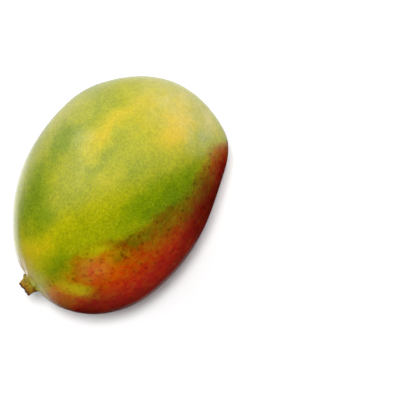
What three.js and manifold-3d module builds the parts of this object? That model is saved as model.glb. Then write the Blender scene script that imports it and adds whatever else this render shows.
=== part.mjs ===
// A ripening mango with the stub of its stalk, lying on one cheek. Millimetres, +Z up.
// The origin is on the table, straight below the middle of the fruit.
// +X runs along the fruit from the stalk to the tip, +Y towards its back, -Y towards the beak.
import * as THREE from "three";
import { mergeVertices } from "three/addons/utils/BufferGeometryUtils.js";
import Module from "manifold-3d";

// The fruit: an ellipsoid, a little thicker at the stalk end, flat where it rests
const FRUIT_LENGTH = 122;
const FRUIT_WIDTH = 91.4;
const FRUIT_THICKNESS = 82;
const TAPER = 0.05;
const REST_DEPTH = 0.6;

// Where the fruit departs from the ellipsoid. Each swelling lies round one direction in the
// fruit's middle plane, at an angle in degrees from the tip towards the back. It lifts the skin
// by a share of the distance to the middle, and fades over its spread in degrees.
const SWELLINGS = {
  beak: { angle: -43, share: 0.088, spread: 15.5 },
  beakShoulder: { angle: -22, share: 0.02, spread: 13 },
  bellyShoulder: { angle: -131, share: 0.04, spread: 33 },
  backOfTip: { angle: 60, share: 0.02, spread: 13 },
  slopeOfTip: { angle: 24, share: -0.014, spread: 20 },
  slopeOfBack: { angle: 127, share: -0.025, spread: 20 },
  slopeOfStalk: { angle: 164, share: -0.012, spread: 14 },
};

// The stalk stands in a shallow basin on the back's side of the stalk end, tilted up a little
const STALK_ANGLE = 166;
const STALK_TILT = 8;
const BASIN_SHARE = -0.02;
const BASIN_SPREAD = 11;
const SEAT_DEPTH = 0.4;

// The stalk: a root in the fruit's socket, and the stub that was left where it was cut.
// The stub's outline gives [radius, height above its seat] from its foot to its hollow cut end.
const GAP = 0.3;
const ROOT_RADIUS = 2.6;
const ROOT_LENGTH = 3;
const STUB = [
  [4.8, GAP],
  [5.3, 0.8],
  [5.1, 1.5],
  [4.5, 2.3],
  [4.1, 3.2],
  [3.9, 4.6],
  [3.75, 5.7],
  [3.5, 6.2],
  [2.9, 6.05],
  [1.2, 5.7],
  [0, 5.7],
];
const LEAN = 0.1;
const RIBS = 5;
const RIB_SHARE = 0.045;
const RIBS_FROM = 1.2;

const FRUIT_SEGMENTS = 72;
const FRUIT_RINGS = 48;
const STALK_SEGMENTS = 40;

const HALF = new THREE.Vector3(FRUIT_LENGTH / 2, FRUIT_WIDTH / 2, FRUIT_THICKNESS / 2);
const UP = new THREE.Vector3(0, 1, 0);

const wasm = await Module();
wasm.setup();

// A direction from its angle in the fruit's middle plane and its tilt up out of that plane
function direction(angle, tilt) {
  const a = THREE.MathUtils.degToRad(angle);
  const t = THREE.MathUtils.degToRad(tilt);
  return new THREE.Vector3(Math.cos(t) * Math.cos(a), Math.cos(t) * Math.sin(a), Math.sin(t));
}

// One swelling, or a hollow where its share is negative, as a function of a direction
function swelling(toward, share, spread) {
  const fade = THREE.MathUtils.degToRad(spread);
  return (p) => share * Math.exp(-((p.angleTo(toward) / fade) ** 2));
}

const STALK_TOWARD = direction(STALK_ANGLE, STALK_TILT);
const LIFTS = Object.values(SWELLINGS).map((s) => swelling(direction(s.angle, 0), s.share, s.spread));
LIFTS.push(swelling(STALK_TOWARD, BASIN_SHARE, BASIN_SPREAD));

// The point of the fruit's skin that lies in direction p from its middle
function skin(p) {
  const swell = LIFTS.reduce((sum, lift) => sum + lift(p), 1);
  const point = p.clone().multiply(HALF).multiplyScalar(swell);
  point.z = point.z * (1 - TAPER * p.x) + HALF.z - REST_DEPTH;
  point.z = Math.max(point.z, 0);
  return point;
}

const STALK_AXIS = STALK_TOWARD.clone().divide(HALF).normalize();
const STALK_SEAT = skin(STALK_TOWARD).addScaledVector(STALK_AXIS, -SEAT_DEPTH);
const STALK_TURN = new THREE.Quaternion().setFromUnitVectors(UP, STALK_AXIS);

// A closed turning about +Y of [radius, height] points that start and end on the axis
function lathe(profile, segments) {
  const points = profile.map(([radius, height]) => new THREE.Vector2(radius, height));
  return new THREE.LatheGeometry(points, segments);
}

// A closed geometry as a solid that can be cut
function solid(geometry) {
  geometry.deleteAttribute("normal");
  geometry.deleteAttribute("uv");
  const merged = mergeVertices(geometry, 1e-4);
  const mesh = new wasm.Mesh({
    numProp: 3,
    vertProperties: merged.attributes.position.array,
    triVerts: new Uint32Array(merged.index.array),
  });
  return new wasm.Manifold(mesh);
}

// A solid's surface as a geometry again
function geometryOf(cut) {
  const mesh = cut.getMesh();
  const geometry = new THREE.BufferGeometry();
  geometry.setAttribute("position", new THREE.BufferAttribute(mesh.vertProperties, 3));
  geometry.setIndex(new THREE.BufferAttribute(mesh.triVerts, 1));
  geometry.computeVertexNormals();
  return geometry;
}

// The fruit: a ball with its pole at the stalk, pulled into shape
function bodyGeometry() {
  const profile = [];
  for (let ring = 0; ring <= FRUIT_RINGS; ring += 1) {
    const turn = (Math.PI * ring) / FRUIT_RINGS;
    profile.push([Math.sin(turn), -Math.cos(turn)]);
  }
  const ball = lathe(profile, FRUIT_SEGMENTS);
  const place = ball.attributes.position;
  const toStalk = new THREE.Quaternion().setFromUnitVectors(UP, STALK_TOWARD);
  const p = new THREE.Vector3();
  for (let i = 0; i < place.count; i += 1) {
    p.fromBufferAttribute(place, i).normalize().applyQuaternion(toStalk);
    place.setXYZ(i, ...skin(p));
  }
  return ball;
}

// What the stalk takes up in the fruit: the socket of its root, and the seat of its foot
function socketGeometry() {
  const root = ROOT_RADIUS + GAP;
  const depth = ROOT_LENGTH + GAP;
  const foot = Math.max(...STUB.map(([radius]) => radius)) + GAP;
  const top = Math.max(...STUB.map(([, height]) => height));
  const profile = [[0, -depth], [root, -depth], [root, 0], [foot, 0], [foot, top], [0, top]];
  const socket = lathe(profile, STALK_SEGMENTS);
  socket.applyQuaternion(STALK_TURN);
  socket.translate(...STALK_SEAT);
  return socket;
}

// The stalk, along +Y from its seat: turned, then ribbed, and leaning towards the beak's side
function stalkGeometry() {
  const root = [[0, -ROOT_LENGTH], [ROOT_RADIUS, -ROOT_LENGTH], [ROOT_RADIUS, GAP]];
  const stub = lathe([...root, ...STUB], STALK_SEGMENTS);
  const place = stub.attributes.position;
  for (let i = 0; i < place.count; i += 1) {
    const [x, y, z] = [place.getX(i), place.getY(i), place.getZ(i)];
    const ribbed = THREE.MathUtils.smoothstep(y, GAP, RIBS_FROM);
    const rib = 1 + RIB_SHARE * ribbed * Math.cos(RIBS * Math.atan2(z, x));
    place.setXYZ(i, x * rib - LEAN * Math.max(y - RIBS_FROM, 0), y, z * rib);
  }
  return geometryOf(solid(stub));
}

const skinMaterial = new THREE.MeshStandardMaterial({ color: 0xa9ac32, roughness: 0.4, metalness: 0 });
const stalkMaterial = new THREE.MeshStandardMaterial({ color: 0x8a7420, roughness: 0.75, metalness: 0 });

const fruitSolid = solid(bodyGeometry()).subtract(solid(socketGeometry()));
const fruit = new THREE.Mesh(geometryOf(fruitSolid), skinMaterial);
fruit.name = "fruit";

const stalk = new THREE.Mesh(stalkGeometry(), stalkMaterial);
stalk.name = "stalk";
stalk.position.copy(STALK_SEAT);
stalk.quaternion.copy(STALK_TURN);

const mango = new THREE.Group();
mango.name = "mango";
mango.add(fruit, stalk);

export default mango;
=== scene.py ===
# %% [markdown]
# # A ripening mango
# A mango that has just begun to turn: green along its back, yellow on its cheek and red along its belly.
# It lies on one cheek on a white table, and the camera looks down on the other cheek.
# The CAD model has already fixed its size and place, so it is loaded first and is not changed.

# %% The fixed frame
import math

import bmesh
import bpy
from mathutils import Matrix, Vector, noise


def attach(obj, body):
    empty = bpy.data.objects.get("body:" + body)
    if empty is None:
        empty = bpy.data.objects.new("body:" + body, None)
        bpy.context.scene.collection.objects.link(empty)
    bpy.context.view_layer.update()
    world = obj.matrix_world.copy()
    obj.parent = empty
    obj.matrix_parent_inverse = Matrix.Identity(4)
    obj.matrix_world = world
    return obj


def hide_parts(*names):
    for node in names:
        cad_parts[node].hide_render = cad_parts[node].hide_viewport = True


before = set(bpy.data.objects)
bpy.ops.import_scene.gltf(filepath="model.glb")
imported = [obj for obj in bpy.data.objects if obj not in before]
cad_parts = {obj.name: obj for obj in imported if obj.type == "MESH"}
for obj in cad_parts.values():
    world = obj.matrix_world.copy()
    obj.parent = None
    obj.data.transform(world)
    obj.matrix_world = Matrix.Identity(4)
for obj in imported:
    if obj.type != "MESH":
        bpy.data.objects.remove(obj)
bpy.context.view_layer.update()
MM = 0.001

# %% [markdown]
# ## The form of the fruit
# A mango is close to an ellipsoid, but no mango is one. It has a beak near the tip on its belly side,
# full shoulders at the stalk end, and a shallow basin where the stalk stands.
# It could be sculpted by hand, but then the solid and the fine surface would drift apart.
# Here each of those forms is a swelling: it lifts the skin round one direction and fades away from it.
# These are the same named values as the solid's, so the fine skin follows the solid.

# %% Sizes of the fruit
HALF = Vector((122, 91.4, 82)) * MM / 2
TAPER = 0.05
REST_DEPTH = 0.6 * MM
# Each swelling: its angle from the tip towards the back, its share of lift, its spread; in degrees
SWELLINGS = {
    "beak": (-43, 0.088, 15.5),
    "beak shoulder": (-22, 0.02, 13),
    "belly shoulder": (-131, 0.04, 33),
    "back of the tip": (60, 0.02, 13),
    "slope of the tip": (24, -0.014, 20),
    "slope of the back": (127, -0.025, 20),
    "slope of the stalk": (164, -0.012, 14),
}
STALK_ANGLE = 166
STALK_TILT = 8
BASIN_SHARE = -0.02
BASIN_SPREAD = 11
print("swellings and hollows:", len(SWELLINGS))


# %% A direction, and the skin in that direction
def direction(angle, tilt=0.0):
    """A direction from its angle in the fruit's middle plane and its tilt out of it, in degrees."""
    a, t = math.radians(angle), math.radians(tilt)
    return Vector((math.cos(t) * math.cos(a), math.cos(t) * math.sin(a), math.sin(t)))


STALK_TOWARD = direction(STALK_ANGLE, STALK_TILT)
LIFTS = [(direction(angle), share, math.radians(spread)) for angle, share, spread in SWELLINGS.values()]
LIFTS.append((STALK_TOWARD, BASIN_SHARE, math.radians(BASIN_SPREAD)))


def skin(p, extra=0.0):
    """The point of the skin in direction p from the fruit's middle; extra raises it, in metres."""
    swell = 1 + sum(share * math.exp(-(p.angle(toward) / spread) ** 2) for toward, share, spread in LIFTS)
    point = Vector(p[i] * HALF[i] for i in range(3)) * swell
    point *= 1 + extra / point.length
    point.z = point.z * (1 - TAPER * p.x) + HALF.z - REST_DEPTH
    return point


STALK_AXIS = Vector(STALK_TOWARD[i] / HALF[i] for i in range(3)).normalized()
SEAT_DEPTH = 0.4 * MM
STALK_SEAT = skin(STALK_TOWARD) - STALK_AXIS * SEAT_DEPTH
print("the stalk's seat in mm:", [round(v / MM, 1) for v in STALK_SEAT])

# %% [markdown]
# ## The skin as a mesh
# A sphere of latitudes and longitudes crowds its faces at two poles, and a pole shows as a pinch in a gloss.
# An icosphere has even triangles and no poles, so it is the better start for a fruit.
# Each point is moved out to the skin, with slow waves about a sixth of a millimetre high. Real skin is
# never quite smooth, and the waves keep its reflections from looking like those of a glass ball.
# The whole skin lies a little more than a tenth of a millimetre low, so that the waves stay inside the
# solid's box.
# Round the stalk the faces are made finer, because the skin puckers there into short folds. On the
# upper cheek it also swells into a lip, which hides the foot of the stalk from above.

# %% Waves, folds and the lip, with their heights and how far from the stalk they lie
WAVE_HEIGHT = 0.16 * MM
WAVE_RATE = 3.2
RIPPLE_HEIGHT = 0.045 * MM
RIPPLE_RATE = 11.0
SKIN_DROP = 0.12 * MM
PUCKER_HEIGHT = 0.22 * MM
PUCKER_REACH = math.radians(7.5)
PUCKERS = 11
PUCKER_WANDER = 2.5
PUCKER_WANDER_RATE = 6.0
LIP_HEIGHT = 1.4 * MM
LIP_AWAY = math.radians(7.6)
LIP_WIDTH = math.radians(2.6)
LIP_TURN = math.radians(96)
FLAT_SPOT_EDGE = 0.1 * MM


def waves(p):
    """The slow waves of the skin in direction p, in metres."""
    return WAVE_HEIGHT * noise.noise(p * WAVE_RATE) + RIPPLE_HEIGHT * noise.noise(p * RIPPLE_RATE)


def round_stalk(p):
    """How far the folds and the lip round the stalk lift the skin in direction p, in metres."""
    away = p.angle(STALK_TOWARD, 0.0)
    side = p - STALK_TOWARD
    turn = math.atan2(side.z, side.dot(Vector((STALK_TOWARD.y, -STALK_TOWARD.x, 0))))
    fold = math.cos(PUCKERS * turn + PUCKER_WANDER * noise.noise(p * PUCKER_WANDER_RATE))
    near = (away / PUCKER_REACH) * math.exp(1 - away / PUCKER_REACH)
    lip = max(math.cos(turn - LIP_TURN), 0) ** 2 * math.exp(-((away - LIP_AWAY) / LIP_WIDTH) ** 2)
    return PUCKER_HEIGHT * near ** 3 * fold + LIP_HEIGHT * lip


def settle(z):
    """A height above the table, rounded off where the fruit's weight has flattened it."""
    return (z + math.hypot(z, FLAT_SPOT_EDGE)) / 2


# %% A mesh becomes an object
def finish_mesh(name, bm):
    """Turns a bmesh into an object at the origin, with smooth faces that point outwards."""
    bmesh.ops.recalc_face_normals(bm, faces=bm.faces)
    mesh = bpy.data.meshes.new(name)
    bm.to_mesh(mesh)
    bm.free()
    mesh.shade_smooth()
    made = bpy.data.objects.new(name, mesh)
    bpy.context.scene.collection.objects.link(made)
    print(name, "has", len(mesh.polygons), "faces and spans in mm",
          [round(v / MM, 1) for v in made.dimensions])
    return made


# %% The fruit
SKIN_SUBDIVISIONS = 7
COLLAR = math.radians(17)


def make_fruit():
    """The whole fruit in one closed skin, with a collar of finer faces round the stalk."""
    bm = bmesh.new()
    bmesh.ops.create_icosphere(bm, subdivisions=SKIN_SUBDIVISIONS, radius=1.0)
    collar = [e for e in bm.edges if e.verts[0].co.angle(STALK_TOWARD) < COLLAR]
    bmesh.ops.subdivide_edges(bm, edges=collar, cuts=2, use_grid_fill=True)
    bmesh.ops.triangulate(bm, faces=bm.faces)
    for vert in bm.verts:
        p = vert.co.normalized()
        vert.co = skin(p, waves(p) - SKIN_DROP + round_stalk(p))
        vert.co.z = settle(vert.co.z)
    return finish_mesh("mango_fruit", bm)


fruit = make_fruit()
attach(fruit, "root")
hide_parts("fruit")

# %% [markdown]
# ## The stalk's stub
# The picker cuts the stalk a few millimetres above the skin. What is left is a ribbed, woody stub
# with a flared foot, and its cut end dries to a dark, torn rim round a hollow of pith.
# A stub could be a bent cylinder, but its outline changes all the way up, so it is turned: the outline
# is drawn once and spun round the axis. The ribs, the fibres and the ragged cut are then pressed into it.

# %% Outline of the stub, as [radius, height above its seat] in mm
STUB = [
    (0, -1.2), (4.2, -1.2), (4.7, 0.2), (5.3, 0.8), (5.1, 1.5), (4.5, 2.3), (4.1, 3.2),
    (3.9, 4.6), (3.8, 5.7), (3.5, 6.2), (2.9, 6.05), (1.2, 5.6), (0, 5.55),
]
STUB_TOP = max(height for _, height in STUB)
LEAN = 0.1
RIBS = 5
RIB_SHARE = 0.045
RIBS_FROM = 1.2
print("the stub is", round(STUB_TOP, 1), "mm high")


def stub_matrix():
    """The stub's own frame: its seat at the origin, its axis up, and its lean along its -X."""
    back = Vector((0, 1, 0))
    back = (back - STALK_AXIS * back.dot(STALK_AXIS)).normalized()
    turned = Matrix((back, STALK_AXIS.cross(back), STALK_AXIS)).transposed()
    return Matrix.Translation(STALK_SEAT) @ turned.to_4x4()


# %% Ribs, fibres, the torn cut and the pith inside it; lengths in mm
RIBS_START = 0.3
TORN_DEPTH = 1.3
TORN_DROP = 0.5
TORN_RADIUS = 3.0
TORN_RATE = 5.5
PITH_RADIUS = 3.2
PITH_FROM = 4
PITH_HEIGHT = 0.22
PITH_RATE = 2.2
KNOT_SHARE = 0.05
KNOT_TWIST = 0.6
# Coarse and fine fibres: their share of the radius, and how fast they change round and up the stub
FIBRES = [(0.035, 3.2, 0.35), (0.018, 9, 0.5)]


def round_noise(turn, rate, height):
    """Noise that runs round the stub without a seam; a small height draws it out into fibres."""
    return noise.noise(Vector((math.cos(turn) * rate, math.sin(turn) * rate, height)))


def stub_wall(co, turn):
    """How much wider the ribs, fibres and knots make the stub at one point."""
    ribbed = min(max((co.z - RIBS_START) / (RIBS_FROM - RIBS_START), 0), 1)
    knots = noise.noise(Vector((co.x * 0.7, co.y * 0.7, co.z * 0.9 + 7)))
    rib = RIB_SHARE * math.cos(RIBS * turn + KNOT_TWIST * knots)
    fibres = sum(share * round_noise(turn, rate, co.z * climb) for share, rate, climb in FIBRES)
    return 1 + ribbed * (rib + fibres) + KNOT_SHARE * knots


def shape_stub(co):
    """Moves one point of the plain turned stub, in mm, to where it is on the ribbed, torn one."""
    turn = math.atan2(co.y, co.x)
    radius = math.hypot(co.x, co.y)
    wall = stub_wall(co, turn)
    torn = min(max((co.z - STUB_TOP + TORN_DEPTH) / TORN_DEPTH, 0), 1) * min(radius / TORN_RADIUS, 1)
    height = co.z + torn * (round_noise(turn, TORN_RATE, 3.0) - TORN_DROP)
    if radius < PITH_RADIUS and co.z > PITH_FROM:
        height += PITH_HEIGHT * noise.noise(Vector((co.x * PITH_RATE, co.y * PITH_RATE, 1.0)))
    lean = LEAN * max(co.z - RIBS_FROM, 0)
    return Vector((co.x * wall - lean, co.y * wall, height))


# %% The stalk
STUB_CUTS = 5
STUB_SMOOTHINGS = 4
STUB_STEPS = 120


def make_stalk():
    """The stub, turned from its outline in millimetres and then set on its seat."""
    bm = bmesh.new()
    points = [bm.verts.new((radius, 0, height)) for radius, height in STUB]
    line = [bm.edges.new(pair) for pair in zip(points, points[1:])]
    bmesh.ops.subdivide_edges(bm, edges=line, cuts=STUB_CUTS)
    inner = [v for v in bm.verts if v.co.x > 0 and v.co.z > 0]
    for _ in range(STUB_SMOOTHINGS):
        bmesh.ops.smooth_vert(bm, verts=inner, factor=0.5, use_axis_x=True, use_axis_z=True)
    bmesh.ops.spin(bm, geom=bm.verts[:] + bm.edges[:], cent=(0, 0, 0), axis=(0, 0, 1),
                   angle=math.tau, steps=STUB_STEPS, use_merge=True, use_normal_flip=False)
    bmesh.ops.remove_doubles(bm, verts=bm.verts, dist=1e-4)
    for vert in bm.verts:
        vert.co = shape_stub(vert.co)
    bmesh.ops.transform(bm, matrix=stub_matrix() @ Matrix.Scale(MM, 4), verts=bm.verts)
    return finish_mesh("mango_stalk", bm)


stalk = make_stalk()
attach(stalk, "root")
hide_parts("stalk")

# %% [markdown]
# ## Short words for nodes
# A skin that is green, yellow and red in soft patches takes many nodes. Each helper adds one kind of
# node and returns its output, so that a finish below reads as a recipe: take the place on the fruit,
# make a mask from it, and mix two colours by the mask.


# %% A material, and one node in it
def new_material(name):
    """A material with a Principled shader, and its tree, shader and Object coordinates."""
    material = bpy.data.materials.new(name)
    material.use_nodes = True
    tree = material.node_tree
    shader = tree.nodes["Principled BSDF"]
    place = tree.nodes.new("ShaderNodeTexCoord").outputs["Object"]
    return material, tree, shader, place


def node(tree, kind, inputs, output=0, **settings):
    """Adds one node, sets or links its inputs by name or number, and returns one of its outputs."""
    made = tree.nodes.new("ShaderNode" + kind)
    for name, value in settings.items():
        setattr(made, name, value)
    for key, value in inputs.items():
        if isinstance(value, bpy.types.NodeSocket):
            tree.links.new(value, made.inputs[key])
        else:
            made.inputs[key].default_value = value
    return made.outputs[output]


# %% Sums and masks
def math_node(tree, operation, a, b=0.0):
    return node(tree, "Math", {0: a, 1: b}, operation=operation)


def fade(tree, value, low, high):
    """0 below low and 1 above high, with a soft step between them; low may be the larger."""
    return node(tree, "MapRange", {"Value": value, "From Min": low, "From Max": high},
                interpolation_type="SMOOTHSTEP")


def span(tree, value, low, high, to_low, to_high):
    """Maps low...high to to_low...to_high in a straight line, and stops at both ends."""
    return node(tree, "MapRange", {"Value": value, "From Min": low, "From Max": high,
                                   "To Min": to_low, "To Max": to_high})


# %% Noise and colours
def noise_node(tree, place, scale, detail=3.0, roughness=0.5, output="Fac"):
    return node(tree, "TexNoise", {"Vector": place, "Scale": scale, "Detail": detail,
                                   "Roughness": roughness}, output=output)


def mix(tree, factor, a, b, blend="MIX"):
    """Mixes two colours."""
    return node(tree, "Mix", {0: factor, 6: a, 7: b}, output=2, data_type="RGBA", blend_type=blend)


def ramp(tree, value, stops):
    """A colour ramp from (position, colour) stops."""
    made = tree.nodes.new("ShaderNodeValToRGB")
    band = made.color_ramp
    for position, _ in stops[2:]:
        band.elements.new(position)
    for element, (position, colour) in zip(band.elements, stops):
        element.position = position
        element.color = (*colour, 1)
    tree.links.new(value, made.inputs[0])
    return made.outputs[0]


# %% [markdown]
# ## Where the skin has ripened
# A mango does not ripen evenly: green, yellow and orange lie in soft-edged patches, a few centimetres long.
# They could be painted by hand on an unwrapped skin. Patches that are placed in the fruit's own space are
# better here, because they need no seams and keep their place from every side.
# Each patch is a soft ellipsoid: where it is, how far it reaches, which way it is turned, and how much
# riper (more than 0) or greener (less than 0) it makes the skin. Noise makes their edges wander, and
# clouds of three sizes make the skin between them uneven.

# %% Patches on the upper cheek: x, y, reach along, reach across in mm; turn in degrees; amount
UPPER_PATCHES = {
    "green back": (-17, 31, 15, 5.5, 9, -0.3),
    "green back by the tip": (9, 33, 9, 4.5, -5, -0.24),
    "green below the back": (-27.5, 20, 6, 6.5, 0, -0.24),
    "yellow shoulder": (-43, 17, 9, 6.5, -35, 0.42),
    "yellow beside the stalk": (-52, 13, 5, 6, 0, 0.4),
    "yellow below the shoulder": (-34, 11, 9, 5, -15, 0.16),
    "green by the stalk": (-41, 3.2, 5.5, 3, 15, -0.22),
    "yellow flank": (-20, 8, 10, 6, 0, 0.08),
    "yellow middle": (2, 4, 13, 6.5, 0, 0.18),
    "green middle": (9, 13, 6, 3.5, 0, -0.14),
    "yellow band": (17, 18.5, 11, 5.5, 3, 0.34),
    "yellow band by the tip": (30, 14.5, 10, 4.5, -12, 0.32),
    "end of the band": (44, 11, 6, 6, 0, 0.1),
    "tip of the back": (24, 37, 13, 6, -20, 0.2),
    "orange cheek": (40, -10, 8.5, 6.5, -5, 0.34),
    "ripe cheek": (32, 0, 12, 13, 0, 0.14),
    "ripe tip": (52, -5, 25, 27, 0, 0.36),
    "green finger": (2, -15, 13, 5, -8, -0.28),
    "olive below the finger": (-13, -20.5, 8, 4, -40, -0.2),
    "grey streak": (-24, -18, 3, 2.5, -20, -0.3),
    "olive smudge": (-18.5, -17, 7, 2.4, -58, -0.12),
    "green by the belly": (13, -25, 16, 7, -8, -0.42),
    # Greener skin, and also painted shade: this darkens the full red on the right of the belly.
    "green and painted shade below the blush": (24, -38, 20, 7, 0, -0.26),
    "green beside the beak": (34, -26, 7, 3, 0, -0.06),
    "green by the tip": (44, -21, 5, 3, 40, -0.2),
    "streak at the tip": (52, -22, 8, 2.4, 55, 0.2),
    "orange flank": (-34, -16, 14, 9, -38, 0.5),
    "orange belly": (-24, -33, 25, 8, -18, 0.45),
    # Partly orange skin, partly painted light: the stalk end near the belly is made brighter where the lamps
    # give it too little light.
    "orange and painted light at the end": (-52, -6, 7, 9, 0, 0.48),
    "ochre end": (-55, 2, 5, 6, 0, 0.3),
}

# %% Patches on the lower cheek, and how a patch is drawn
LOWER_PATCHES = {
    "yellow cheek": (6, 6, 34, 20, 15, 0.3),
    "orange by the tip": (40, -4, 16, 16, 0, 0.3),
    "green back": (-14, 29, 26, 9, 10, -0.2),
    "green by the stalk": (-46, 8, 14, 12, 0, -0.25),
    "green by the belly": (4, -16, 16, 9, -10, -0.2),
}
PATCH_DEPTH = 22 * MM
PATCH_FULL = 0.15
PATCH_ENDS = 1.7
print("patches of ripeness:", len(UPPER_PATCHES), "above and", len(LOWER_PATCHES), "below")


def on_cheek(x, y, side):
    """The point of the upper (side 1) or lower (side -1) cheek at x, y in mm."""
    flat = Vector((x * MM / HALF.x, y * MM / HALF.y, 0))
    up = math.sqrt(max(1 - flat.length_squared, 0))
    return Vector((x * MM, y * MM, HALF.z - REST_DEPTH + side * up * HALF.z))


def patch(tree, place, spot, side):
    """How strongly a patch covers a place, times its amount. At its reach it is about half as strong."""
    x, y, along, across, turn, amount = spot
    local = node(tree, "Mapping", {
        "Vector": place, "Location": on_cheek(x, y, side), "Rotation": (0, 0, math.radians(turn)),
        "Scale": (along * MM, across * MM, PATCH_DEPTH)}, vector_type="TEXTURE")
    away = node(tree, "VectorMath", {0: local}, output="Value", operation="LENGTH")
    cover = fade(tree, away, PATCH_ENDS, PATCH_FULL)
    return math_node(tree, "MULTIPLY", cover, amount)


# %% Wandering edges
def warp(tree, place, scale, reach):
    """The place, pushed about by noise, so that what is drawn with it has a wandering edge."""
    push = noise_node(tree, place, scale, detail=4.0, roughness=0.6, output="Color")
    middle = node(tree, "VectorMath", {0: push, 1: (0.5, 0.5, 0.5)}, operation="SUBTRACT")
    pushed = node(tree, "VectorMath", {0: middle, "Scale": reach}, operation="SCALE")
    return node(tree, "VectorMath", {0: place, 1: pushed}, operation="ADD")


# %% Ripeness as one mask; clouds as noise waves per metre and how much they change
RIPE_BASE = 0.42
PATCH_WANDER = (60, 14 * MM)
CLOUDS = [(45, 0.3), (150, 0.3), (380, 0.22)]


def ripeness(tree, place):
    """0 where the skin is green, about a half where it is yellow-green, and 1 where it is orange."""
    wandering = warp(tree, place, *PATCH_WANDER)
    total = RIPE_BASE
    for patches, side in ((UPPER_PATCHES, 1), (LOWER_PATCHES, -1)):
        for spot in patches.values():
            total = math_node(tree, "ADD", patch(tree, wandering, spot, side), total)
    for scale, amount in CLOUDS:
        cloud = math_node(tree, "SUBTRACT", noise_node(tree, place, scale, detail=2.0), 0.5)
        total = math_node(tree, "ADD", total, math_node(tree, "MULTIPLY", cloud, amount))
    return total


# %% [markdown]
# ## The blush
# The side that hung in the sun turns red. On this fruit that is the belly, from the beak to the stalk end.
# The red is a dye in the skin that swallows green and blue light, so it is not a colour laid over the
# skin: it multiplies what is under it. A little turns green to olive brown and yellow to orange, and
# much of it turns both to a deep, dark red. That is why one ramp of tints is enough.
# Where the blush begins, where it is half and where it is full are three curves along the fruit. Small
# patches add a smudge or take one away. The clearest is a yellow tongue by the stalk, where the red has
# left the skin nearly bare. On the lower cheek the whole blush reaches a centimetre further round.
# Short streaks along the fruit and a fine speckle break it up. The speckle grows with the red until the
# red is a brick orange, and no further.

# %% Where the blush begins, is half and is full, as points (x, y) in mm
BLUSH_BEGINS = [(-62, 6), (-52, 6), (-40, 3), (-30, 0), (-20, -7.5), (-10, -16.5), (0, -21),
                (10, -24.5), (20, -27.5), (32, -27), (42, -26.5), (47, -30), (62, -42)]
BLUSH_HALF = [(-62, -6), (-50, -11), (-40, -12.5), (-30, -16.5), (-20, -22), (-10, -28), (0, -31.5),
              (10, -33.5), (20, -35), (30, -34), (40, -32.5), (62, -44)]
BLUSH_FULL = [(-62, -14), (-52, -18), (-45, -23), (-38, -32), (-28, -36), (-15, -39), (0, -40),
              (15, -40), (28, -39), (40, -37.5), (62, -47)]
# A curve node runs from 0 to 1, which stands for these ranges of x and y
X_SPAN = 62
Y_LOW = -48
Y_HIGH = 14
print("points of the blush's curves:", [len(line) for line in (BLUSH_BEGINS, BLUSH_HALF, BLUSH_FULL)])


def line_along(tree, x, points):
    """The y, in metres, of a curve through given points, at each x."""
    share = node(tree, "MapRange", {"Value": x, "From Min": -X_SPAN * MM, "From Max": X_SPAN * MM})
    made = tree.nodes.new("ShaderNodeFloatCurve")
    curve = made.mapping.curves[0]
    for _ in points[2:]:
        curve.points.new(0.5, 0.5)
    for point, (px, py) in zip(curve.points, points):
        point.location = ((px + X_SPAN) / (2 * X_SPAN), (py - Y_LOW) / (Y_HIGH - Y_LOW))
    made.mapping.update()
    tree.links.new(share, made.inputs["Value"])
    return node(tree, "MapRange", {"Value": made.outputs[0], "To Min": Y_LOW * MM, "To Max": Y_HIGH * MM})


# %% Smudges of the blush: x, y, reach along, reach across in mm; turn in degrees; amount
BLUSH_PATCHES = {
    "yellow streak": (-26.5, -10, 5.5, 3, -50, -0.16),
    "grey streak": (-24, -17.5, 4, 1.5, -20, -0.12),
    "brown smudge": (-18, -18, 7, 2.2, -58, 0.1),
    "brown cloud": (3.5, -26, 6.5, 3.5, -15, 0.2),
    "end of the blush": (-57, -4, 4, 4, 0, 0.14),
    "root of the beak": (42, -34, 10, 4, 0, 0.14),
    "brick orange": (-38.5, -14.5, 5, 4, 0, -0.08),
    "brick red": (-35, -7.7, 5, 4.5, 0, 0.15),
    "orange on the belly": (-29.5, -21.2, 4.5, 4, 0, -0.1),
    "root of the tongue": (-48.5, -3.6, 5, 3.5, 0, -0.12),
}
TONGUE = (-46.4, -12.7, 6.6, 3.4, -70, -0.5)
LOWER_SMUDGE = (-54, 19, 9, 9, 0, 0.3)
print("smudges of the blush:", len(BLUSH_PATCHES), "and the tongue, and one on the lower cheek")

# %% The blush as one mask
LOWER_RISE = 11 * MM
RISE_STARTS = 42 * MM
RISE_FULL = 8 * MM
COARSE_WANDER = (85, 7 * MM)
FINE_WANDER = (420, 3 * MM)
STREAK_STRETCH = 0.4
STREAK_RATE = 230
STREAKS = 0.32
SPECKLE_RATE = 300
SPECKLE = 0.45
SPECKLE_GROWS_TO = 0.45


def blush_by_curves(tree, place):
    """0 where the blush begins, a half on the middle curve, and 1 from the last curve on."""
    x, y, z = (node(tree, "SeparateXYZ", {0: place}, output=axis) for axis in "XYZ")
    lower = fade(tree, z, RISE_STARTS, RISE_FULL)
    y = math_node(tree, "SUBTRACT", y, math_node(tree, "MULTIPLY", lower, LOWER_RISE))
    begins, half, full = (line_along(tree, x, line) for line in (BLUSH_BEGINS, BLUSH_HALF, BLUSH_FULL))
    first = span(tree, y, begins, half, 0.0, 0.5)
    second = span(tree, y, half, full, 0.0, 0.5)
    return math_node(tree, "ADD", first, second)


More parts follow.
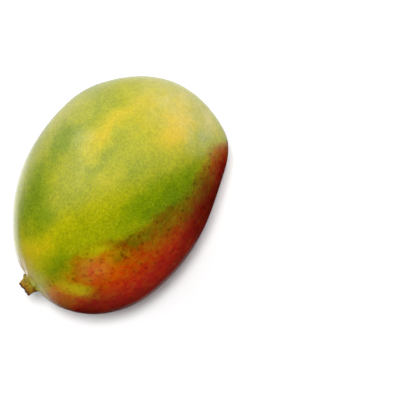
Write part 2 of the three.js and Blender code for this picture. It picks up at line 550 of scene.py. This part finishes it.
def blush(tree, place):
    """0 where there is no red, a half where it is a brick orange, and 1 where it is full."""
    wandering = warp(tree, place, *COARSE_WANDER)
    wandering = warp(tree, wandering, *FINE_WANDER)
    red = blush_by_curves(tree, wandering)
    for spot in BLUSH_PATCHES.values():
        red = math_node(tree, "ADD", red, patch(tree, wandering, spot, 1))
    red = math_node(tree, "ADD", red, patch(tree, warp(tree, place, *FINE_WANDER), TONGUE, 1))
    red = math_node(tree, "ADD", red, patch(tree, wandering, LOWER_SMUDGE, -1))
    drawn = node(tree, "Mapping", {"Vector": place, "Scale": (STREAK_STRETCH, 1, 1)})
    streaks = math_node(tree, "SUBTRACT", noise_node(tree, drawn, STREAK_RATE, detail=2.0), 0.5)
    streaks = math_node(tree, "MULTIPLY", streaks, fade(tree, red, 0.0, 0.2))
    red = math_node(tree, "ADD", red, math_node(tree, "MULTIPLY", streaks, STREAKS))
    speckle = noise_node(tree, place, SPECKLE_RATE, detail=3.0, roughness=0.6)
    swing = span(tree, speckle, 0.25, 0.75, -SPECKLE, SPECKLE)
    swing = math_node(tree, "MULTIPLY", swing, math_node(tree, "MINIMUM", red, SPECKLE_GROWS_TO))
    return node(tree, "Math", {0: red, 1: swing}, operation="ADD", use_clamp=True)


# %% [markdown]
# ## Lenticels
# A mango breathes through lenticels, tiny corky pores. On green and yellow skin they are pale dots, half
# a millimetre across and one or two apart, and a few of them are brighter. In the blush many are larger
# and reddish brown, with soft edges.
# They could be dots from an image, but an image needs an unwrapped skin. A Voronoi pattern gives each
# pore a cell of its own, and the colour of the cell is a random number that picks which pores show.
# The brown ones multiply the skin's colour, as the blush does, so that they are brown on orange skin and
# nearly black on red.

# %% Pores: cells a metre, where a dot is full and where it ends, the share that shows, their strength
FAINT_PORES = (620, 0.05, 0.25, 0.8, 0.28)
BRIGHT_PORES = (330, 0.04, 0.16, 0.45, 0.34)
LARGE_PORES = (290, 0.05, 0.38, 0.75, 0.64)
SMALL_PORES = (420, 0.05, 0.42, 0.8, 0.46)
PORES = (FAINT_PORES, BRIGHT_PORES, LARGE_PORES, SMALL_PORES)
print("cells of the pores in mm:", [round(1 / rate / MM, 1) for rate, *_ in PORES])


def pores(tree, place, scale, inner, outer, share, strength):
    """Soft dots in a share of the cells: at full strength up to inner, and gone at outer."""
    cell = tree.nodes.new("ShaderNodeTexVoronoi")
    cell.inputs["Scale"].default_value = scale
    tree.links.new(place, cell.inputs["Vector"])
    dot = fade(tree, cell.outputs["Distance"], outer, inner)
    lot = node(tree, "SeparateColor", {0: cell.outputs["Color"]})
    shown = math_node(tree, "MULTIPLY", dot, fade(tree, lot, 1 - share, 1 - share + 0.15))
    return math_node(tree, "MULTIPLY", shown, strength)


# %% Pale pores and brown ones
CLUSTER_RATE = 130
LARGE_WANDER = (500, 0.7 * MM)
SMALL_WANDER = (700, 0.6 * MM)


def pale_pores(tree, place):
    """The pale pores: many faint ones, and a few bright ones."""
    return math_node(tree, "MAXIMUM", pores(tree, place, *FAINT_PORES), pores(tree, place, *BRIGHT_PORES))


def dark_pores(tree, place, red):
    """The brown pores, large and small, in clusters where the skin is red and faint elsewhere."""
    clusters = span(tree, noise_node(tree, place, CLUSTER_RATE, detail=1.0), 0.35, 0.65, 0.6, 2.5)
    shown = span(tree, math_node(tree, "MULTIPLY", red, clusters), 0.02, 0.17, 0.1, 1.0)
    large = pores(tree, warp(tree, place, *LARGE_WANDER), *LARGE_PORES)
    small = pores(tree, warp(tree, place, *SMALL_WANDER), *SMALL_PORES)
    return math_node(tree, "MULTIPLY", math_node(tree, "MAXIMUM", large, small), shown)


# %% [markdown]
# ## Dry wax and painted sheen
# A thin bloom of wax lies on the skin, and it is palest where nothing has rubbed it off: on the back, beside
# the stalk and round the tip. It could be a clear coat, but a coat is only bright where it mirrors a light,
# and dry wax is pale from every side. So it is mixed into the colour, in patches that noise breaks up. Part
# of this pale is painted sheen, not wax: a painted soft highlight on the back, and painted pale reflections
# beside the stalk, round the tip and beside the beak.

# %% Patches of wax and painted sheen: x, y, reach along, reach across in mm; turn in degrees; share of pale
WAX_AND_SHEEN_PATCHES = {
    "painted highlight on the back": (14, 25, 5.5, 4.5, 0, 0.05),
    "back": (3, 18, 13, 8, 20, 0.02),
    "whole back": (18, 12, 24, 17, -25, 0.014),
    "dusty flank": (-35, -12, 6.5, 5, -40, 0.014),
    "beside the stalk": (-55, 9, 4.5, 6, 0, 0.085),
    "below the stalk": (-56, 1, 3, 5, 20, 0.05),
    "above the stalk": (-51.5, 17, 4, 4, 0, 0.05),
    "tip": (54, -6, 15, 20, 0, 0.09),
    "beside the beak": (42, -22, 7, 6, 0, 0.045),
    "streak at the tip": (52, -22, 9, 3, 55, 0.05),
    "shoulder of the tip": (26, 33, 14, 8, -25, 0.02),
}
WAX_AND_SHEEN_GRAIN_RATE = 900
WAX_AND_SHEEN_CLOUD_RATE = 170
print("patches of wax:", len(WAX_AND_SHEEN_PATCHES))


def wax_and_sheen(tree, place):
    """How much pale is mixed into the skin: partly dry wax, partly painted sheen."""
    total = 0.0
    for spot in WAX_AND_SHEEN_PATCHES.values():
        total = math_node(tree, "ADD", patch(tree, place, spot, 1), total)
    grain = span(tree, noise_node(tree, place, WAX_AND_SHEEN_GRAIN_RATE, detail=2.0), 0.3, 0.7, 0.7, 1.3)
    clouds = span(tree, noise_node(tree, place, WAX_AND_SHEEN_CLOUD_RATE, detail=2.0), 0.3, 0.7, 0.6, 1.4)
    return math_node(tree, "MULTIPLY", total, math_node(tree, "MULTIPLY", grain, clouds))


# %% [markdown]
# ## The finish of the skin
# The colour is that of the ripeness, tinted by the blush, with the pores on top and a pale mix of wax and
# painted sheen. Round the stalk a near-black brown is painted into the crease as painted shade. Its gloss is
# satin: it turns the white cloth behind it into a soft veil, and not into a mirror image. The pale pores and
# a fine grain go into the bump, because they are too small to be worth geometry. The grain also makes the
# colour lighter and darker, most of all on green skin.

# %% Colours of the skin, from green to orange, and the tints of the blush
RIPE_COLOURS = [
    (0.0, (0.097, 0.158, 0.0006)),
    (0.2, (0.158, 0.215, 0.0007)),
    (0.4, (0.237, 0.262, 0.0009)),
    (0.6, (0.314, 0.308, 0.0012)),
    (0.8, (0.396, 0.335, 0.002)),
    (1.0, (0.495, 0.358, 0.003)),
]
BLUSH_TINTS = [
    (0.0, (1, 1, 1)),
    (0.12, (1, 0.8, 0.8)),
    (0.25, (1.02, 0.53, 0.5)),
    (0.5, (1.0, 0.29, 0.16)),
    (0.75, (1.04, 0.12, 0.08)),
    (1.0, (0.9, 0.02, 0.06)),
]

# %% The colour of the skin
PALE_PORE = (0.5, 0.52, 0.05, 1)
DARK_PORE = (0.3, 0.16, 0.3, 1)
GRAIN_SHADES = [(0.3, (0.79, 0.79, 0.78)), (0.7, (1.2, 1.18, 1.35))]
# Painted shade: a near-black brown mixed into the skin round the stalk's foot, where the skin dips under the
# stub.
CREASE_SHADE = (0.05, 0.035, 0.008, 1)
CREASE_SHADE_DEPTH = 0.8
CREASE_SHADE_FULL = 5.2 * MM
CREASE_SHADE_ENDS = 6.6 * MM
CREASE_SHADE_WANDER = (300, 2 * MM)
# The pale of the dry wax, also used for the painted sheen and highlights.
WAX_AND_SHEEN = (0.8, 0.82, 0.75, 1)


def crease_shade(tree, place):
    """How strongly painted shade darkens the crease round the foot of the stalk."""
    from_seat = node(tree, "VectorMath", {0: warp(tree, place, *CREASE_SHADE_WANDER), 1: STALK_SEAT},
                     output="Value", operation="DISTANCE")
    return math_node(tree, "MULTIPLY", fade(tree, from_seat, CREASE_SHADE_ENDS, CREASE_SHADE_FULL), CREASE_SHADE_DEPTH)


def skin_colour(tree, place, grain, pale):
    """The ripeness with its grain, tinted by the blush, then the pores, the painted shade of the crease, and
    the wax with its painted sheen.
    """
    red = blush(tree, place)
    ripe = ripeness(tree, place)
    colour = ramp(tree, ripe, RIPE_COLOURS)
    grained = span(tree, ripe, 0.35, 0.9, 1.0, 0.6)
    colour = mix(tree, grained, colour, ramp(tree, grain, GRAIN_SHADES), "MULTIPLY")
    colour = mix(tree, 1.0, colour, ramp(tree, red, BLUSH_TINTS), "MULTIPLY")
    bare = math_node(tree, "MULTIPLY", pale, fade(tree, red, 0.5, 0.1))
    colour = mix(tree, bare, colour, PALE_PORE)
    colour = mix(tree, dark_pores(tree, place, red), colour, DARK_PORE, "MULTIPLY")
    # Painted shade in the crease round the stalk.
    colour = mix(tree, crease_shade(tree, place), colour, CREASE_SHADE)
    # Wax and painted sheen: the skin is mixed towards a pale colour.
    return mix(tree, wax_and_sheen(tree, place), colour, WAX_AND_SHEEN)


# %% The skin's material
GRAIN_RATE = 950
GRAIN_BUMP = 0.12 * MM
PORE_BUMP = 0.2 * MM


def skin_material():
    material, tree, shader, place = new_material("mango skin")
    grain = noise_node(tree, place, GRAIN_RATE, detail=2.0)
    pale = pale_pores(tree, place)
    tree.links.new(skin_colour(tree, place, grain, pale), shader.inputs["Base Color"])
    tree.links.new(span(tree, grain, 0.0, 1.0, 0.19, 0.27), shader.inputs["Roughness"])
    shader.inputs["IOR"].default_value = 1.44
    bump = node(tree, "Bump", {"Strength": 0.25, "Distance": GRAIN_BUMP, "Height": grain})
    bump = node(tree, "Bump", {"Strength": 0.5, "Distance": PORE_BUMP, "Height": pale, "Normal": bump})
    tree.links.new(bump, shader.inputs["Normal"])
    return material


fruit.data.materials.append(skin_material())
print("skin: nodes", len(fruit.data.materials[0].node_tree.nodes))

# %% [markdown]
# ## The finish of the stalk
# The stub is olive where it leaves the fruit and dries to ochre and brown towards the cut. Its colour
# runs with its height, so the pattern is read in the stub's own frame: a Mapping node turns the place
# on the fruit into a height along the stub. Fibres are noise that is drawn out along that height.

# %% Colours of the stalk, from its foot at 0 to its cut end near 1
STALK_COLOURS = [
    (0.0, (0.1, 0.12, 0.006)),
    (0.25, (0.24, 0.21, 0.01)),
    (0.55, (0.3, 0.2, 0.01)),
    (0.8, (0.27, 0.13, 0.01)),
    (0.86, (0.2, 0.075, 0.01)),
    (0.91, (0.035, 0.01, 0.004)),
]
STAIN = (0.09, 0.04, 0.006, 1)
# Painted shade: a red brown for the stub's -X side, the side away from the light.
SHADED_SIDE = (0.2, 0.06, 0.005, 1)
FIBRE_SHADES = [(0.3, (0.55, 0.5, 0.5)), (0.68, (1.3, 1.35, 1.4))]


# %% The colour of the stalk
BLOTCH_RATE = 420
BLOTCH_REACH = 4.4 * MM
COLOURS_FROM = 1.9 * MM
COLOURS_TO = 8.7 * MM
STAIN_RATE = 620
SHADED_SIDE_FROM = -1.6 * MM
SHADED_SIDE_FULL = -4.4 * MM


def stalk_colour(tree, local, fibres):
    """Olive to brown along the stub, with stains, painted shade in red brown on its -X side, and darker and
    paler fibres.
    """
    x, height = (node(tree, "SeparateXYZ", {0: local}, output=axis) for axis in "XZ")
    blotch = noise_node(tree, local, BLOTCH_RATE, detail=4.0, roughness=0.65)
    uneven = math_node(tree, "ADD", height, math_node(tree, "MULTIPLY", blotch, BLOTCH_REACH))
    share = node(tree, "MapRange", {"Value": uneven, "From Min": COLOURS_FROM, "From Max": COLOURS_TO})
    colour = ramp(tree, share, STALK_COLOURS)
    stain = fade(tree, noise_node(tree, local, STAIN_RATE, detail=2.0), 0.5, 0.66)
    colour = mix(tree, math_node(tree, "MULTIPLY", stain, 0.65), colour, STAIN)
    # Painted shade: the stub's -X side is darkened to a red brown.
    shaded_side = fade(tree, x, SHADED_SIDE_FROM, SHADED_SIDE_FULL)
    colour = mix(tree, math_node(tree, "MULTIPLY", shaded_side, 0.7), colour, SHADED_SIDE)
    return mix(tree, 1.0, colour, ramp(tree, fibres, FIBRE_SHADES), "MULTIPLY")


# %% The stalk's material
FIBRE_RATE = 2600
FIBRE_STRETCH = 0.15
FIBRE_BUMP = 0.12 * MM


def stalk_material():
    material, tree, shader, place = new_material("mango stalk")
    stub = stub_matrix()
    local = node(tree, "Mapping", {"Vector": place, "Location": stub.translation,
                                   "Rotation": stub.to_euler()}, vector_type="TEXTURE")
    drawn = node(tree, "Mapping", {"Vector": local, "Scale": (1, 1, FIBRE_STRETCH)})
    fibres = noise_node(tree, drawn, FIBRE_RATE, detail=4.0, roughness=0.7)
    tree.links.new(stalk_colour(tree, local, fibres), shader.inputs["Base Color"])
    shader.inputs["Roughness"].default_value = 0.65
    shader.inputs["IOR"].default_value = 1.3
    bump = node(tree, "Bump", {"Strength": 0.6, "Distance": FIBRE_BUMP, "Height": fibres})
    tree.links.new(bump, shader.inputs["Normal"])
    return material


stalk.data.materials.append(stalk_material())
print("stalk: nodes", len(stalk.data.materials[0].node_tree.nodes))

# %% [markdown]
# ## The table
# The fruit lies on a plain white table, which also throws light up into its lower half.
# The skin does not mirror it: near its outline the fruit would otherwise be pale all round.

# %% The table
TABLE_HALF_SIDE = 0.6


def make_table():
    bm = bmesh.new()
    bmesh.ops.create_grid(bm, x_segments=1, y_segments=1, size=TABLE_HALF_SIDE)
    made = finish_mesh("table", bm)
    material, _, shader, _ = new_material("white table")
    shader.inputs["Base Color"].default_value = (0.9, 0.9, 0.9, 1)
    shader.inputs["Roughness"].default_value = 0.7
    made.data.materials.append(material)
    made.visible_glossy = False
    return made


make_table()

# %% [markdown]
# ## The camera
# The fruit is seen square on to its cheek, with its tip towards the upper right. It lies on its other
# cheek here, so the camera looks straight down. A long lens from 0.8 m away keeps its outline true.
# The fruit is left of the picture's middle and a little above it.

# %% The camera
LONG_AXIS_TURN = 58
FRAME_WIDTH = 192.6 * MM
LENS = 150
SENSOR = 36
FRUIT_LEFT = 40.9 * MM
FRUIT_UP = 3.5 * MM
RIGHT = Vector((math.cos(math.radians(LONG_AXIS_TURN)), -math.sin(math.radians(LONG_AXIS_TURN)), 0))
UP = Vector((math.sin(math.radians(LONG_AXIS_TURN)), math.cos(math.radians(LONG_AXIS_TURN)), 0))
MIDDLE = Vector((0, 0, HALF.z))


def make_camera():
    data = bpy.data.cameras.new("camera")
    data.lens = LENS
    data.sensor_width = SENSOR
    made = bpy.data.objects.new("camera", data)
    distance = FRAME_WIDTH * LENS / SENSOR
    made.location = MIDDLE + RIGHT * FRUIT_LEFT - UP * FRUIT_UP + Vector((0, 0, distance))
    made.rotation_euler = (0, 0, -math.radians(LONG_AXIS_TURN))
    bpy.context.scene.collection.objects.link(made)
    bpy.context.scene.camera = made
    print("camera is", round(distance, 3), "m above the middle of the fruit")


make_camera()

# %% [markdown]
# ## The light
# Fruit is often photographed in a tent of white cloth. The wax mirrors the cloth behind the fruit as a pale
# veil on its back, and it mirrors nothing on its belly, so that the red stays deep.
# Sheets round the fruit could make the tent, but they would hide the fruit from other sides. So the world
# is the tent: how bright it is depends only on the direction. A wall low on the left and a faint glow low
# on the right draw the pale rims there, and the camera itself sees plain white everywhere.
# Three lamps do the rest: a strong one by the camera, and a weak one on each side that opens the shadows.
# None of them shows in the wax.


# %% Lamps
def area_lamp(name, toward, distance, size, radiance):
    """A rectangular lamp that faces the fruit; radiance 1 looks as bright as white paper."""
    data = bpy.data.lights.new(name, "AREA")
    data.shape = "RECTANGLE"
    data.size, data.size_y = size
    data.energy = radiance * math.pi * size[0] * size[1]
    made = bpy.data.objects.new(name, data)
    toward = toward.normalized()
    made.location = MIDDLE + toward * distance
    made.rotation_euler = toward.to_track_quat("Z", "Y").to_euler()
    made.visible_glossy = False
    bpy.context.scene.collection.objects.link(made)
    print(name, "gives", round(data.energy, 1), "W")


ABOVE = Vector((0, 0, 1))
area_lamp("lamp by the camera", ABOVE + UP * 0.1, 1.6, (0.25, 0.25), 116)
area_lamp("lamp on the left", -RIGHT + UP * 0.1 + ABOVE * 0.5, 1.4, (1.0, 0.7), 1.7)
area_lamp("lamp on the right", RIGHT - UP * 0.5 + ABOVE * 0.5, 1.4, (1.0, 0.7), 0.5)

# %% Where the tent is bright, and how bright
BEHIND = (UP * 0.995 - RIGHT * 0.1).normalized()
LOW_RIGHT = (RIGHT * 0.5 - UP * 0.86).normalized()
CLOTH = 1.15
OPENING = 0.9
WALL = 0.95
GLOW = 0.3


# %% The tent
def turned_to(tree, toward, way, low, high):
    """0 to 1 as a direction turns towards a way; low and high are cosines."""
    along = node(tree, "VectorMath", {0: toward, 1: way}, output="Value", operation="DOT_PRODUCT")
    return fade(tree, along, low, high)


def make_tent():
    """White cloth behind the fruit, a white wall low on the left, a faint glow low on the right."""
    world = bpy.data.worlds.new("tent")
    world.use_nodes = True
    tree = world.node_tree
    back = tree.nodes["Background"]
    toward = node(tree, "TexCoord", {}, output="Object")
    flat = node(tree, "VectorMath", {0: toward, 1: (1, 1, 0)}, operation="MULTIPLY")
    flat = node(tree, "VectorMath", {0: flat}, operation="NORMALIZE")
    opening = math_node(tree, "MULTIPLY", turned_to(tree, toward, -RIGHT, 0.75, 1.0), -OPENING)
    cloth = math_node(tree, "MULTIPLY", turned_to(tree, toward, BEHIND, -0.06, 0.24),
                      math_node(tree, "ADD", opening, 1.0))
    wall = math_node(tree, "MULTIPLY", turned_to(tree, flat, -RIGHT, 0.4, 0.8),
                     turned_to(tree, toward, -ABOVE, 0.45, 0.75))
    near = math_node(tree, "ADD", turned_to(tree, flat, -RIGHT, 0.85, 0.97), 1.0)
    wall = math_node(tree, "MULTIPLY", wall, near)
    glow = math_node(tree, "MULTIPLY", turned_to(tree, flat, LOW_RIGHT, 0.85, 0.98),
                     turned_to(tree, toward, -ABOVE, 0.8, 0.95))
    wall = math_node(tree, "ADD", wall, math_node(tree, "MULTIPLY", glow, GLOW))
    bright = math_node(tree, "MAXIMUM", math_node(tree, "MULTIPLY", cloth, CLOTH),
                       math_node(tree, "MULTIPLY", wall, WALL))
    seen = node(tree, "LightPath", {}, output="Is Camera Ray")
    tree.links.new(math_node(tree, "MAXIMUM", bright, seen), back.inputs["Strength"])
    back.inputs["Color"].default_value = (1, 1, 1, 1)
    bpy.context.scene.world = world
    print("tent: nodes", len(tree.nodes))


make_tent()
bpy.context.scene.view_settings.view_transform = "Standard"
bpy.context.scene.view_settings.look = "None"
